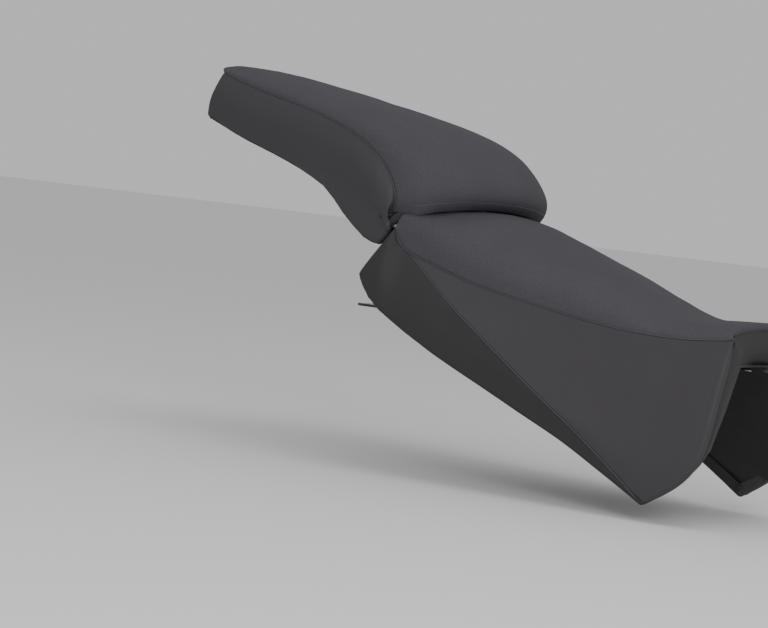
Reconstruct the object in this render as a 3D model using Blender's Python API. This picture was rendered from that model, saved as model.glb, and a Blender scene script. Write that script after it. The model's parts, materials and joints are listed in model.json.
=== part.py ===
"""Two-piece touring motorcycle seat with its seat lock.

+X points forward, +Y left and +Z up. The origin is the centre of the lock
bracket's mounting face. Dimensions are in millimetres and become metres when a
mesh is made. A seat is one surface: u runs from its rear (0) to its front (1),
and w runs across it, 0 at the middle, 1 at the side seam and 2 at the lower
edge, negative on the right. Covers, foam and pan are offsets of that surface.
"""

import math

import bmesh
import bpy
import numpy as np
from mathutils import Vector

MM = 0.001
COVER = 2.0          # cover thickness
FOAM_GAP = 0.9       # between the foam and the pan
PAN = 3.0            # pan thickness
EDGE_GAP = 0.5       # between the pan and a cover panel
SEAM_GAP = 0.35      # half the gap between two panels at a seam
HINGE_REAR = (-306.0, 0.0, 238.0)    # passenger seat: tips of its rear hooks
HINGE_FRONT = (470.0, 0.0, -9.0)     # rider seat: end of its front tongue
BOLT_Z = 104.0       # axis of the sliding lock bolt
LOOP_X = -8.0        # passenger seat's catch loop
BARREL = (-44.0, 81.0)               # x and z of the key barrel's axis
LEVER = (34.0, 18.0)                 # x and z of the rider lever's pivot
LEVER_OPEN = 24.0    # degrees the lever stands open at rest

# Side view curves: x and z, and the half width in a seam.
RIDER_SEAM = ((29, 102, 150), (36, 85, 147), (46, 76, 145), (68, 69, 143), (97, 60, 141),
              (136, 49, 138), (182, 40, 134), (231, 32, 130), (320, 20, 122), (400, 18, 114),
              (462, 24, 109))
RIDER_MIDDLE = ((42, 128), (72, 131), (115, 127), (166, 114), (206, 101), (247, 87), (306, 62),
                (334, 50), (353, 44), (375, 41), (409, 42), (452, 44))
RIDER_LOWER = ((-3, 44), (1, 32), (19, 12), (51, -9), (97, -32), (204, -79), (281, -113),
               (340, -145), (385, -171))
RIDER_REAR = ((29, 102), (13, 73), (0, 50), (-3, 44))
RIDER_FRONT = ((462, 24), (457, -35), (452, -90), (447, -113), (437, -131), (420, -148),
               (385, -171))
DIAGONAL = ((66, 69), (139, 14), (185, -19), (243, -59), (295, -93), (346, -131), (384, -166))
PASS_SEAM = ((-262, 268, 122), (-212, 253, 126), (-140, 237, 131), (-105, 229, 138),
             (-41, 207, 148), (-1, 181, 151), (20, 155, 152), (27, 135, 152), (23, 111, 150))
PASS_MIDDLE = ((-270, 283), (-200, 272), (-100, 254), (-27, 238), (20, 224), (52, 208),
               (80, 182), (96, 158), (98, 146), (88, 135))
PASS_LOWER = ((-285, 211), (-232, 191), (-169, 172), (-111, 152), (-81, 138), (-58, 118),
              (-32, 98), (-10, 84), (8, 81))
PASS_REAR = ((-262, 268), (-275, 238), (-285, 211))
PASS_FRONT = ((23, 111), (17, 94), (8, 81))
# Pans: x, z and half width where the floor turns down into the side walls.
RIDER_FLOOR = ((6, 60), (60, 59), (120, 54), (190, 40), (260, 20), (320, 3), (370, -3),
               (410, -4), (449, -4))
RIDER_CORNER = ((6, 57, 118), (60, 56, 112), (120, 51, 106), (190, 37, 98), (260, 17, 90),
                (320, 1, 80), (370, -3, 73), (410, -4, 71), (455, -4, 70))
RIDER_PAN_FRONT = ((455, -4), (454, -40), (450, -90), (445, -112), (435, -129), (419, -146),
                   (385, -171))
PASS_FLOOR = ((-278, 236), (-200, 212), (-120, 180), (-60, 146), (-10, 132), (40, 137), (83, 140))
PASS_CORNER = ((-278, 232, 92), (-200, 208, 104), (-120, 176, 112), (-60, 142, 118),
               (-10, 129, 120), (35, 133, 116), (66, 134, 112))
PASS_PAN_FRONT = ((66, 134), (50, 129), (34, 124), (18, 108), (8, 81))

FABRIC = ("seat_fabric", (0.075, 0.073, 0.081), 0.0, 0.85)
VINYL = ("side_vinyl", (0.047, 0.044, 0.047), 0.0, 0.6)
FOAM = ("seat_foam", (0.16, 0.15, 0.12), 0.0, 0.95)
PLASTIC = ("pan_plastic", (0.02, 0.02, 0.021), 0.0, 0.55)
RUBBER = ("bumper_rubber", (0.012, 0.012, 0.012), 0.0, 0.8)
ZINC = ("zinc_steel", (0.55, 0.54, 0.5), 1.0, 0.35)
BLACK_STEEL = ("black_steel", (0.018, 0.018, 0.019), 0.2, 0.45)


# ---------------------------------------------------------------- surfaces
def curve(points, count):
    """Catmull-Rom curve through the points, sampled evenly along its length."""
    p = np.array(points, float)
    p = np.vstack([2 * p[0] - p[1], p, 2 * p[-1] - p[-2]])
    fine = []
    for i in range(1, len(p) - 2):
        knots = np.sqrt(np.linalg.norm(np.diff(p[i - 1:i + 3], axis=0), axis=1))
        t0, t1, t2, t3 = np.concatenate([[0.0], np.cumsum(knots)])
        t = np.linspace(t1, t2, 40)[:, None]
        a1 = ((t1 - t) * p[i - 1] + (t - t0) * p[i]) / (t1 - t0)
        a2 = ((t2 - t) * p[i] + (t - t1) * p[i + 1]) / (t2 - t1)
        a3 = ((t3 - t) * p[i + 1] + (t - t2) * p[i + 2]) / (t3 - t2)
        b1 = ((t2 - t) * a1 + (t - t0) * a2) / (t2 - t0)
        b2 = ((t3 - t) * a2 + (t - t1) * a3) / (t3 - t1)
        fine.append(((t2 - t) * b1 + (t - t1) * b2) / (t2 - t1))
    fine = np.vstack(fine)
    along = np.append(0, np.cumsum(np.linalg.norm(np.diff(fine, axis=0), axis=1)))
    at = np.linspace(0, along[-1], count)
    return np.stack([np.interp(at, along, fine[:, k]) for k in range(fine.shape[1])], 1)


def patch(top, bottom, rear, front, n, m):
    """Coons patch in side view: n points along, m points from top to bottom."""
    top, bottom = curve(top, n)[:, None], curve(bottom, n)[:, None]
    rear, front = curve(rear, m)[None], curve(front, m)[None]
    u = np.linspace(0, 1, n)[:, None, None]
    v = np.linspace(0, 1, m)[None, :, None]
    corners = ((1 - u) * (1 - v) * top[0, 0] + u * (1 - v) * top[-1, 0]
               + (1 - u) * v * bottom[0, 0] + u * v * bottom[-1, 0])
    return (1 - v) * top + v * bottom + (1 - u) * rear + u * front - corners


def xz(points):
    return [p[:2] for p in points]


def dome(seam, middle, n, m, squareness):
    """The top panel's left half, from the middle out to the seam."""
    seam, middle = curve(seam, n), curve(middle, n)
    angle = np.linspace(0, 1, m)[None] * math.pi / 2
    out = np.sin(angle) ** 0.93
    up = np.cos(angle) ** squareness
    x = seam[:, :1] + (middle[:, :1] - seam[:, :1]) * up
    z = seam[:, 1:2] + (middle[:, 1:2] - seam[:, 1:2]) * up
    return np.stack([x, seam[:, 2:3] * out, z], -1)


def below_seam(seam, x, z):
    s = np.array(seam, float)
    order = np.argsort(s[:, 0])
    drop = np.maximum(np.interp(x, s[order, 0], s[order, 1]) - z, 0)
    return np.interp(x, s[order, 0], s[order, 2]), drop


def rider_width(x, z):
    """Half width of the rider seat's side, which flares out below the seam."""
    width, drop = below_seam(RIDER_SEAM, x, z)
    flare = np.interp(x, (-3, 100, 250, 460), (17, 24, 24, 20))
    depth = np.interp(x, (-3, 100, 250, 460), (60, 90, 140, 190))
    return width + flare * np.sin(np.minimum(drop / depth, 1) * math.pi / 2)


def pass_width(x, z):
    """Half width of the passenger seat's side, which bulges a little."""
    width, drop = below_seam(PASS_SEAM[:7], x, z)
    return width + 8 * np.sin(np.minimum(drop / 60, 1) * math.pi)


def both_sides(half):
    mirrored = half[:, :0:-1] * (1, -1, 1)
    return np.concatenate([mirrored, half], axis=1)


N, M = 121, 41       # samples of a surface along, and across each of its zones


def outside(seam, middle, squareness, lower, rear, front, width):
    top = dome(seam, middle, N, M, squareness)
    side = patch(xz(seam), lower, rear, front, N, M)
    y = width(side[..., 0], side[..., 1])
    side = np.stack([side[..., 0], y, side[..., 1]], -1)
    return both_sides(np.concatenate([top, side[:, 1:]], axis=1))


def pan_surface(floor, corner, lower, rear, front, width, power):
    corner, floor = curve(corner, N), curve(floor, N)
    across = np.linspace(0, 1, M)[None, :]
    x = floor[:, :1] + (corner[:, :1] - floor[:, :1]) * across ** 2
    z = floor[:, 1:] + (corner[:, 1:2] - floor[:, 1:]) * across ** 2
    top = np.stack([x, corner[:, 2:3] * across, z], -1)
    side = patch(corner[:, :2], lower, rear, front, N, M)
    inset = width(side[:, :1, 0], side[:, :1, 1]) - COVER - EDGE_GAP - corner[:, 2:3]
    fade = (1 - np.linspace(0, 1, M)[None]) ** power
    y = width(side[..., 0], side[..., 1]) - COVER - EDGE_GAP - inset * fade
    side = np.stack([side[..., 0], y, side[..., 1]], -1)
    return both_sides(np.concatenate([top, side[:, 1:]], axis=1))


def normals(grid):
    n = np.cross(np.gradient(grid, axis=0), np.gradient(grid, axis=1))
    return n / np.maximum(np.linalg.norm(n, axis=-1, keepdims=True), 1e-9)


def look_up(grid, u, w):
    """The grid's value at u in 0..1 and w in -2..2."""
    i = np.clip(u, 0, 1) * (grid.shape[0] - 1)
    j = (np.clip(w, -2, 2) + 2) / 4 * (grid.shape[1] - 1)
    i0 = np.minimum(i.astype(int), grid.shape[0] - 2)
    j0 = np.minimum(j.astype(int), grid.shape[1] - 2)
    fi, fj = (i - i0)[..., None], (j - j0)[..., None]
    return ((1 - fi) * (1 - fj) * grid[i0, j0] + fi * (1 - fj) * grid[i0 + 1, j0]
            + (1 - fi) * fj * grid[i0, j0 + 1] + fi * fj * grid[i0 + 1, j0 + 1])


class Surface:
    def __init__(self, grid):
        self.grid = grid
        self.normal = normals(grid)

    def at(self, u, w, out=0.0):
        u, w = np.broadcast_arrays(np.asarray(u, float), np.asarray(w, float))
        n = look_up(self.normal, u, w)
        n = n / np.linalg.norm(n, axis=-1, keepdims=True)
        return look_up(self.grid, u, w) + out * n

    def find(self, x, y):
        """The u and w of the surface's point straight above x and y."""
        far = np.hypot(self.grid[..., 0] - x, self.grid[..., 1] - y)
        i, j = np.unravel_index(far.argmin(), far.shape)
        u, w = i / (self.grid.shape[0] - 1), j / (self.grid.shape[1] - 1) * 4 - 2
        for _ in range(6):
            here = self.at(u, w)[:2]
            along = (self.at(u + 0.01, w)[:2] - here) / 0.01
            across = (self.at(u, w + 0.02)[:2] - here) / 0.02
            step = np.linalg.solve(np.stack([along, across], 1), np.array((x, y)) - here)
            u, w = u + step[0], w + step[1]
        return u, w

    def spot(self, x, y):
        """Point and upward normal above x and y."""
        u, w = self.find(x, y)
        return self.at(u, w), look_up(self.normal, np.array(u), np.array(w))


# ---------------------------------------------------------------- meshes
def material(spec):
    name, colour, metallic, roughness = spec
    found = bpy.data.materials.get(name)
    if found:
        return found
    made = bpy.data.materials.new(name)
    made.use_nodes = True
    made.diffuse_color = (*colour, 1)
    shader = made.node_tree.nodes["Principled BSDF"]
    shader.inputs["Base Color"].default_value = (*colour, 1)
    shader.inputs["Metallic"].default_value = metallic
    shader.inputs["Roughness"].default_value = roughness
    return made


def finish(name, bm, spec, pivot=(0, 0, 0)):
    """Makes the object, with its origin on the pivot."""
    bmesh.ops.remove_doubles(bm, verts=bm.verts, dist=1e-4)
    bmesh.ops.recalc_face_normals(bm, faces=bm.faces)
    bmesh.ops.scale(bm, vec=(MM, MM, MM), verts=bm.verts)
    bmesh.ops.translate(bm, vec=-Vector(pivot) * MM, verts=bm.verts)
    mesh = bpy.data.meshes.new(name)
    bm.to_mesh(mesh)
    bm.free()
    mesh.materials.append(material(spec))
    obj = bpy.data.objects.new(name, mesh)
    obj.location = Vector(pivot) * MM
    bpy.context.scene.collection.objects.link(obj)
    return obj


def between(name, outer, inner, spec, pivot=(0, 0, 0)):
    """The closed solid between two grids of the same size.

    All grids split their quads the same way, so that neighbours stay parallel.
    """
    n, m = outer.shape[:2]
    bm = bmesh.new()
    a = [[bm.verts.new(tuple(outer[i, j])) for j in range(m)] for i in range(n)]
    b = [[bm.verts.new(tuple(inner[i, j])) for j in range(m)] for i in range(n)]
    for i in range(n - 1):
        for j in range(m - 1):
            bm.faces.new((a[i][j], a[i + 1][j], a[i + 1][j + 1]))
            bm.faces.new((a[i][j], a[i + 1][j + 1], a[i][j + 1]))
            bm.faces.new((b[i + 1][j + 1], b[i + 1][j], b[i][j]))
            bm.faces.new((b[i][j + 1], b[i + 1][j + 1], b[i][j]))
    for i in range(n - 1):
        bm.faces.new((a[i][0], b[i][0], b[i + 1][0], a[i + 1][0]))
        bm.faces.new((a[i][-1], a[i + 1][-1], b[i + 1][-1], b[i][-1]))
    for j in range(m - 1):
        bm.faces.new((a[0][j], a[0][j + 1], b[0][j + 1], b[0][j]))
        bm.faces.new((a[-1][j + 1], a[-1][j], b[-1][j], b[-1][j + 1]))
    return finish(name, bm, spec, pivot)


def prism(bm, outline, low, high, place):
    """Extrudes a 2-D outline from low to high. place turns (p, q, height) into a point."""
    a = [bm.verts.new(place(p, q, low)) for p, q in outline]
    b = [bm.verts.new(place(p, q, high)) for p, q in outline]
    bm.faces.new(a)
    bm.faces.new(b[::-1])
    for k in range(len(outline)):
        nxt = (k + 1) % len(outline)
        bm.faces.new((a[k], a[nxt], b[nxt], b[k]))


def along_x(p, q, h):
    return (h, p, q)


def along_y(p, q, h):
    return (p, h, q)


def along_z(p, q, h):
    return (p, q, h)


def block(bm, x, y, z):
    prism(bm, ((x[0], y[0]), (x[1], y[0]), (x[1], y[1]), (x[0], y[1])), z[0], z[1], along_z)


def lathe(bm, profile, centre, axis, sides=20):
    """Turns (radius, height) points about the axis through centre."""
    turn = Vector((0, 0, 1)).rotation_difference(Vector(axis)).to_matrix()
    centre = Vector(centre)
    rings = []
    for radius, height in profile:
        if radius < 1e-6:
            rings.append([bm.verts.new(centre + turn @ Vector((0, 0, height)))])
            continue
        ring = []
        for k in range(sides):
            a = 2 * math.pi * k / sides
            spot = Vector((radius * math.cos(a), radius * math.sin(a), height))
            ring.append(bm.verts.new(centre + turn @ spot))
        rings.append(ring)
    for low, high in zip(rings, rings[1:]):
        for k in range(sides):
            nxt = (k + 1) % sides
            face = [low[k % len(low)], low[nxt % len(low)], high[nxt % len(high)],
                    high[k % len(high)]]
            bm.faces.new(list(dict.fromkeys(face)))


def tube(bm, path, radius, sides=10):
    """A round bar along a path, with flat ends."""
    path = [Vector(p) for p in path]
    rings = []
    side = None
    for k, spot in enumerate(path):
        ahead = path[min(k + 1, len(path) - 1)] - path[max(k - 1, 0)]
        ahead.normalize()
        if side is None:
            side = ahead.orthogonal()
        side = (side - ahead * side.dot(ahead)).normalized()
        up = ahead.cross(side)
        rings.append([bm.verts.new(spot + radius * (math.cos(a) * side + math.sin(a) * up))
                      for a in (2 * math.pi * s / sides for s in range(sides))])
    for low, high in zip(rings, rings[1:]):
        for s in range(sides):
            nxt = (s + 1) % sides
            bm.faces.new((low[s], low[nxt], high[nxt], high[s]))
    bm.faces.new(rings[0])
    bm.faces.new(rings[-1][::-1])


def boolean(obj, others, operation):
    """Joins or cuts obj with other objects, and removes them."""
    for other in others:
        step = obj.modifiers.new("step", "BOOLEAN")
        step.operation = operation
        step.solver = "EXACT"
        step.object = other
        bpy.context.view_layer.update()
        graph = bpy.context.evaluated_depsgraph_get()
        mesh = bpy.data.meshes.new_from_object(obj.evaluated_get(graph))
        obj.modifiers.clear()
        spec = obj.data.materials[0]
        obj.data = mesh
        mesh.materials.clear()
        mesh.materials.append(spec)
        bpy.data.objects.remove(other)
    return obj


def cutter(shape, *arguments, **options):
    bm = bmesh.new()
    shape(bm, *arguments, **options)
    return finish("cutter", bm, ZINC)


def rounded_box(width, depth, radius, steps=4):
    """Outline of a rectangle with rounded corners, about 0, 0."""
    points = []
    for cx, cy, start in ((1, 1, 0), (-1, 1, 90), (-1, -1, 180), (1, -1, 270)):
        for k in range(steps + 1):
            a = math.radians(start + 90 * k / steps)
            points.append((cx * (width / 2 - radius) + radius * math.cos(a),
                           cy * (depth / 2 - radius) + radius * math.sin(a)))
    return points


for leftover in list(bpy.data.objects):
    bpy.data.objects.remove(leftover)

rider = Surface(outside(RIDER_SEAM, RIDER_MIDDLE, 0.72, RIDER_LOWER, RIDER_REAR, RIDER_FRONT,
                        rider_width))
rider_under = Surface(pan_surface(RIDER_FLOOR, RIDER_CORNER, RIDER_LOWER,
                                  ((6, 57), (1, 50), (-3, 44)), RIDER_PAN_FRONT, rider_width,
                                  1.3))
passenger = Surface(outside(PASS_SEAM, PASS_MIDDLE, 0.62, PASS_LOWER, PASS_REAR, PASS_FRONT,
                            pass_width))
pass_under = Surface(pan_surface(PASS_FLOOR, PASS_CORNER, PASS_LOWER,
                                 ((-278, 232), (-282, 221), (-285, 211)), PASS_PAN_FRONT,
                                 pass_width, 2.2))

# ---------------------------------------------------------------- cushions
ALONG = np.concatenate([[0, 0.016], np.linspace(0, 1, 15)[1:-1], [0.985, 1]])
ACROSS = np.array((0, 0.3, 0.56, 0.78, 0.92))
DOWN = (1.0, 1.25, 1.5, 1.75)


def seam_margin(surface, w):
    """The step in w that covers SEAM_GAP on the surface next to w."""
    a = surface.at(np.full(9, 0.5), w)
    b = surface.at(np.full(9, 0.5), w + 0.02)
    return SEAM_GAP / np.linalg.norm(a - b, axis=-1).mean() * 0.02


def top_panel(name, surface, pivot):
    edge = 1 - seam_margin(surface, 0.97)
    w = np.concatenate([-np.append(ACROSS, edge)[:0:-1], np.append(ACROSS, edge)])
    u, w = np.meshgrid(ALONG, w, indexing="ij")
    between(name, surface.at(u, w), surface.at(u, w, -COVER), FABRIC, pivot)


def side_panel(name, surface, along, start, end, side, pivot):
    """A panel between two lines down the side, given as w for each u."""
    share = np.linspace(0, 1, 5)[None]
    w = ((start[:, None] * (1 - share) + end[:, None] * share) * side)[:, ::side]
    u = np.repeat(along[:, None], 5, axis=1)
    between(name, surface.at(u, w), surface.at(u, w, -COVER), VINYL, pivot)


def end_panel(name, surface, under, u, inward, pivot):
    """Closes one end of a cushion, between its cover and its pan."""
    far = np.concatenate([ACROSS, DOWN])
    w = np.concatenate([-far[:0:-1], far])
    inset = COVER + 1.6 + np.interp(abs(w), (0.8, 1, 1.2), (0, 2.2, 0))
    top = surface.at(np.full(len(w), u), w, -inset[:, None])
    low = under.at(np.full(len(w), u), w, EDGE_GAP)
    share = np.linspace(0, 1, 3)[None, :, None]
    face = top[:, None] * (1 - share) + low[:, None] * share
    between(name, face, face + np.array(inward), VINYL, pivot)


def cushion(name, surface, under, first, last, pivot):
    """Foam core and pan."""
    far = np.concatenate([ACROSS, DOWN[:3]])
    w = np.concatenate([-far[:0:-1], far])
    inner = ALONG[(ALONG >= first) & (ALONG <= last)]
    u, w = np.meshgrid(inner, w, indexing="ij")
    inset = COVER + 1.5 + np.interp(abs(w), (0.8, 1, 1.25, 1.5), (0, 2.2, 1.5, 3))
    between(f"{name}_foam", surface.at(u, w, -inset[..., None]), under.at(u, w, FOAM_GAP), FOAM,
            pivot)
    far = np.concatenate([ACROSS, DOWN, [2.0]])
    w = np.concatenate([-far[:0:-1], far])
    u, w = np.meshgrid(ALONG, w, indexing="ij")
    return between(f"{name}_pan", under.at(u, w), under.at(u, w, -PAN), PLASTIC, pivot)


def diagonal_w(along):
    """w of the diagonal seam for each u, found on the side's own grid."""
    line = curve(DIAGONAL, 200)
    side = rider.grid[:, 3 * (M - 1):]
    found = []
    for x, z in line:
        far = np.hypot(side[..., 0] - x, side[..., 2] - z)
        i, j = np.unravel_index(far.argmin(), far.shape)
        found.append((i / (N - 1), 1 + j / (M - 1)))
    found = np.array(found)
    return found[0, 0], found[-1, 0], np.interp(along, found[:, 0], found[:, 1])


top_panel("rider_cover_top", rider, HINGE_FRONT)
u_start, u_end, _ = diagonal_w(ALONG)
gap = seam_margin(rider, 1.03)
for label, side in (("left", 1), ("right", -1)):
    rear = ALONG[ALONG < u_start - 0.01]
    inner = ALONG[(ALONG > u_start + 0.01) & (ALONG < u_end - 0.04)]
    along = np.concatenate([rear, [u_start], inner, [u_end - 0.02]])
    start = np.maximum(diagonal_w(along)[2], 1.0)
    start[along <= u_start] = 1.0
    start = np.minimum(start + gap, 1.98)
    side_panel(f"rider_cover_rear_{label}", rider, along, start, np.full(len(along), 2.0), side,
               HINGE_FRONT)
    inner = ALONG[(ALONG > u_start + 0.04) & (ALONG < u_end - 0.01)]
    outer = ALONG[ALONG > u_end + 0.01]
    along = np.concatenate([[u_start + 0.03], inner, [u_end], outer])
    end = np.maximum(diagonal_w(along)[2] - gap, 1.03)
    end[along > u_end + 1e-6] = 2.0
    side_panel(f"rider_cover_side_{label}", rider, along, np.full(len(along), 1.0 + gap), end,
               side, HINGE_FRONT)
end_panel("rider_cover_back", rider, rider_under, 0.0, (COVER, 0, 0), HINGE_FRONT)
end_panel("rider_cover_nose", rider, rider_under, 1.0, (-COVER, 0, 0), HINGE_FRONT)
rider_pan = cushion("rider", rider, rider_under, 0.01, 0.99, HINGE_FRONT)

top_panel("passenger_cover_top", passenger, HINGE_REAR)
gap = seam_margin(passenger, 1.03)
for label, side in (("left", 1), ("right", -1)):
    side_panel(f"passenger_cover_side_{label}", passenger, ALONG,
               np.full(len(ALONG), 1.0 + gap), np.full(len(ALONG), 2.0), side, HINGE_REAR)
end_panel("passenger_cover_back", passenger, pass_under, 0.0, (COVER, 0, 0), HINGE_REAR)
passenger_pan = cushion("passenger", passenger, pass_under, 0.01, 0.9, HINGE_REAR)


# ---------------------------------------------------------------- pan hardware
def drill(pan, under, spots, radius):
    cuts = []
    for x, y in spots:
        point, up = under.spot(x, y)
        cuts.append(cutter(lathe, ((0, -14), (radius, -14), (radius, 14), (0, 14)),
                           point, up, sides=10))
    boolean(pan, cuts, "DIFFERENCE")


def fixing(name, under, x, middle, y, below, pivot, head=5.0, shank=2.4):
    """A low-headed screw up into the pan, y to the side of the fitting's middle.

    below is how far down its head clamps.
    """
    point = frame_at(under, x, middle)(0, y, 0)
    up = under.spot(x, middle)[1]
    bm = bmesh.new()
    start = -PAN - below - 0.3
    lathe(bm, ((0, start - 3.2), (head * 0.7, start - 3.2), (head, start - 1.6), (head, start),
               (shank, start), (shank, -0.4), (0, -0.4)), point, up, sides=10)
    return finish(name, bm, ZINC, pivot)


def bumper(name, under, x, y, pivot):
    point, up = under.spot(x, y)
    bm = bmesh.new()
    lathe(bm, ((0, -PAN - 11), (9, -PAN - 11), (12, -PAN - 9), (12, -PAN - 0.4),
               (4, -PAN - 0.4), (4, -0.4), (0, -0.4)), point, up, sides=14)
    return finish(name, bm, RUBBER, pivot)


def frame_at(under, x, y, flip=False):
    """Places (p along the pan, q across it, h above its top face)."""
    point, up = under.spot(x, y)
    up = Vector(up)
    across = Vector((0, 1, 0))
    ahead = across.cross(up).normalized()
    across = up.cross(ahead).normalized()
    point = Vector(point)
    return lambda p, q, h: point + ahead * p + across * q + up * h


def catch_loop(name, under, x, drop, pivot):
    """A bent wire loop welded to a flange that is screwed under the pan."""
    place = frame_at(under, x, 0)
    bm = bmesh.new()
    prism(bm, rounded_box(34, 62, 6), -PAN - 3.2, -PAN - 0.5, place)
    flange = finish(name, bm, ZINC, pivot)
    top = place(0, 0, -PAN - 2.0).z
    bm = bmesh.new()
    legs = [(x, -15, top), (x, -15, drop + 6)]
    legs += [(x, -15 + 6 * (1 - math.cos(math.radians(a))), drop + 6 - 6 * math.sin(math.radians(a)))
             for a in (30, 60, 90)]
    legs += [(x, -y, z) for _, y, z in reversed(legs[2:])]
    legs += [(x, 15, drop + 6), (x, 15, top)]
    tube(bm, legs, 3.0)
    loop = finish("loop", bm, ZINC)
    boolean(flange, [loop], "UNION")
    holes = [cutter(lathe, ((0, -14), (2.9, -14), (2.9, 14), (0, 14)), place(0, y, 0),
                    under.spot(x, 0)[1], sides=16) for y in (-24, 24)]
    boolean(flange, holes, "DIFFERENCE")
    return flange


catch_loop("rider_catch", rider_under, 22.0, 36.5, HINGE_FRONT)
catch_loop("passenger_catch", pass_under, LOOP_X, 94.0, HINGE_REAR)
RIVET_X = 425.0
rider_bumpers = (("rear", 70.0, 78.0), ("front", 355.0, 52.0))
pass_bumpers = (("rear", -225.0, 78.0), ("front", -75.0, 88.0))

bm = bmesh.new()
tongue_place = frame_at(rider_under, RIVET_X, 0)
prism(bm, [(p + 15, q) for p, q in rounded_box(70, 62, 10)], -PAN - 3.4, -PAN - 0.5,
      tongue_place)
tongue = finish("rider_tongue", bm, BLACK_STEEL, HINGE_FRONT)
cuts = []
for y in (-20, 20):
    cuts.append(cutter(lathe, ((0, -14), (2.9, -14), (2.9, 14), (0, 14)), tongue_place(0, y, 0),
                       rider_under.spot(RIVET_X, 0)[1], sides=16))
boolean(tongue, cuts, "DIFFERENCE")
tip = [(p + 43, q) for p, q in rounded_box(13, 60, 6.4)]
boolean(tongue, [cutter(prism, tip, -PAN - 2, -PAN + 0.6, tongue_place)], "UNION")

drill(rider_pan, rider_under, [(22, -24), (22, 24), (RIVET_X, -20), (RIVET_X, 20)], 2.9)
drill(rider_pan, rider_under, [(x, s * y) for _, x, y in rider_bumpers for s in (-1, 1)], 4.4)
drill(passenger_pan, pass_under, [(LOOP_X, -24), (LOOP_X, 24), (-262, -55), (-262, 55)], 2.9)
drill(passenger_pan, pass_under, [(x, s * y) for _, x, y in pass_bumpers for s in (-1, 1)], 4.4)

for label, side in (("left", 1), ("right", -1)):
    fixing(f"rider_catch_screw_{label}", rider_under, 22, 0, 24 * side, 3.2, HINGE_FRONT)
    fixing(f"rider_tongue_rivet_{label}", rider_under, RIVET_X, 0, 20 * side, 3.4, HINGE_FRONT)
    fixing(f"passenger_catch_screw_{label}", pass_under, LOOP_X, 0, 24 * side, 3.2, HINGE_REAR)
    for place, x, y in rider_bumpers:
        bumper(f"rider_bumper_{place}_{label}", rider_under, x, y * side, HINGE_FRONT)
    for place, x, y in pass_bumpers:
        bumper(f"passenger_bumper_{place}_{label}", pass_under, x, y * side, HINGE_REAR)
    # rear hook: a flat bar under the pan with its tip on the hinge line
    hook_place = frame_at(pass_under, -262, 55 * side)
    bm = bmesh.new()
    prism(bm, [(p - 16, q) for p, q in rounded_box(58, 24, 5)], -PAN - 4.0, -PAN - 0.5,
          hook_place)
    hook = finish(f"passenger_hook_{label}", bm, BLACK_STEEL, HINGE_REAR)
    point, up = pass_under.spot(-262, 55 * side)
    boolean(hook, [cutter(lathe, ((0, -14), (2.9, -14), (2.9, 14), (0, 14)), point, up,
                          sides=16)], "DIFFERENCE")
    tip = [(p - 38, q) for p, q in rounded_box(13, 22, 4)]
    boolean(hook, [cutter(prism, tip, -PAN - 2, -PAN + 0.6, hook_place)], "UNION")
    fixing(f"passenger_hook_rivet_{label}", pass_under, -262, 55 * side, 0, 4.0, HINGE_REAR)

# ---------------------------------------------------------------- seat lock
bm = bmesh.new()
prism(bm, [(p - 20, q) for p, q in rounded_box(132, 84, 8)], 0, 3, along_z)
bracket = finish("lock_bracket", bm, BLACK_STEEL)
parts = []
for x in ((-24, -20), (-76, -72)):      # lugs that guide the bolt
    parts.append(cutter(block, x, (-12, 19), (2, 113)))
parts.append(cutter(block, (-76, -20), (16, 19), (2, 113)))
for y in ((-11, -8), (8, 11)):          # ears for the rider lever
    ear = ((24, 2), (44, 2), (44, 18), (40, 26), (28, 26), (24, 18))
    parts.append(cutter(prism, ear, y[0], y[1], along_y))
boolean(bracket, parts, "UNION")
holes = [cutter(lathe, ((0, -90), (4.4, -90), (4.4, 10), (0, 10)), (0, 0, BOLT_Z), (1, 0, 0),
                sides=20)]
holes.append(cutter(lathe, ((0, 14), (12.6, 14), (12.6, 21), (0, 21)),
                    (BARREL[0], 0, BARREL[1]), (0, 1, 0), sides=24))
holes.append(cutter(lathe, ((0, -20), (3.3, -20), (3.3, 20), (0, 20)), (LEVER[0], 0, LEVER[1]),
                    (0, 1, 0), sides=16))
for x in (-74, 34):                     # frame bolt holes
    for y in (-31, 31):
        holes.append(cutter(lathe, ((0, -2), (3.3, -2), (3.3, 6), (0, 6)), (x, y, 0),
                            (0, 0, 1), sides=16))
boolean(bracket, holes, "DIFFERENCE")

bm = bmesh.new()                        # housing: a sleeve with a flange at each end
lathe(bm, ((8.4, 15), (12.2, 15), (12.2, 19.5), (16, 19.5), (16, 22.5), (12.2, 22.5),
           (12.2, 52), (15, 52), (15, 56), (8.4, 56)), (BARREL[0], 0, BARREL[1]), (0, 1, 0),
      sides=24)
rings = [e for e in bm.edges if e.is_boundary]
bmesh.ops.bridge_loops(bm, edges=rings)
finish("lock_housing", bm, ZINC)

bm = bmesh.new()                        # barrel with its crank disc
lathe(bm, ((0, 8), (15, 8), (15, 12), (8, 12), (8, 57), (7.4, 57.6), (0, 57.6)),
      (BARREL[0], 0, BARREL[1]), (0, 1, 0), sides=24)
pivot = (BARREL[0], 0, BARREL[1])
barrel = finish("lock_barrel", bm, ZINC, pivot)
pin_x = BARREL[0] - 11.3 * math.sin(math.radians(45))
pin_z = BARREL[1] + 11.3 * math.cos(math.radians(45))
boolean(barrel, [cutter(lathe, ((0, -4), (2.5, -4), (2.5, 10), (0, 10)), (pin_x, 0, pin_z),
                        (0, 1, 0), sides=16)], "UNION")
boolean(barrel, [cutter(block, (BARREL[0] - 1, BARREL[0] + 1), (52, 60),
                        (BARREL[1] - 4, BARREL[1] + 4))], "DIFFERENCE")

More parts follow.
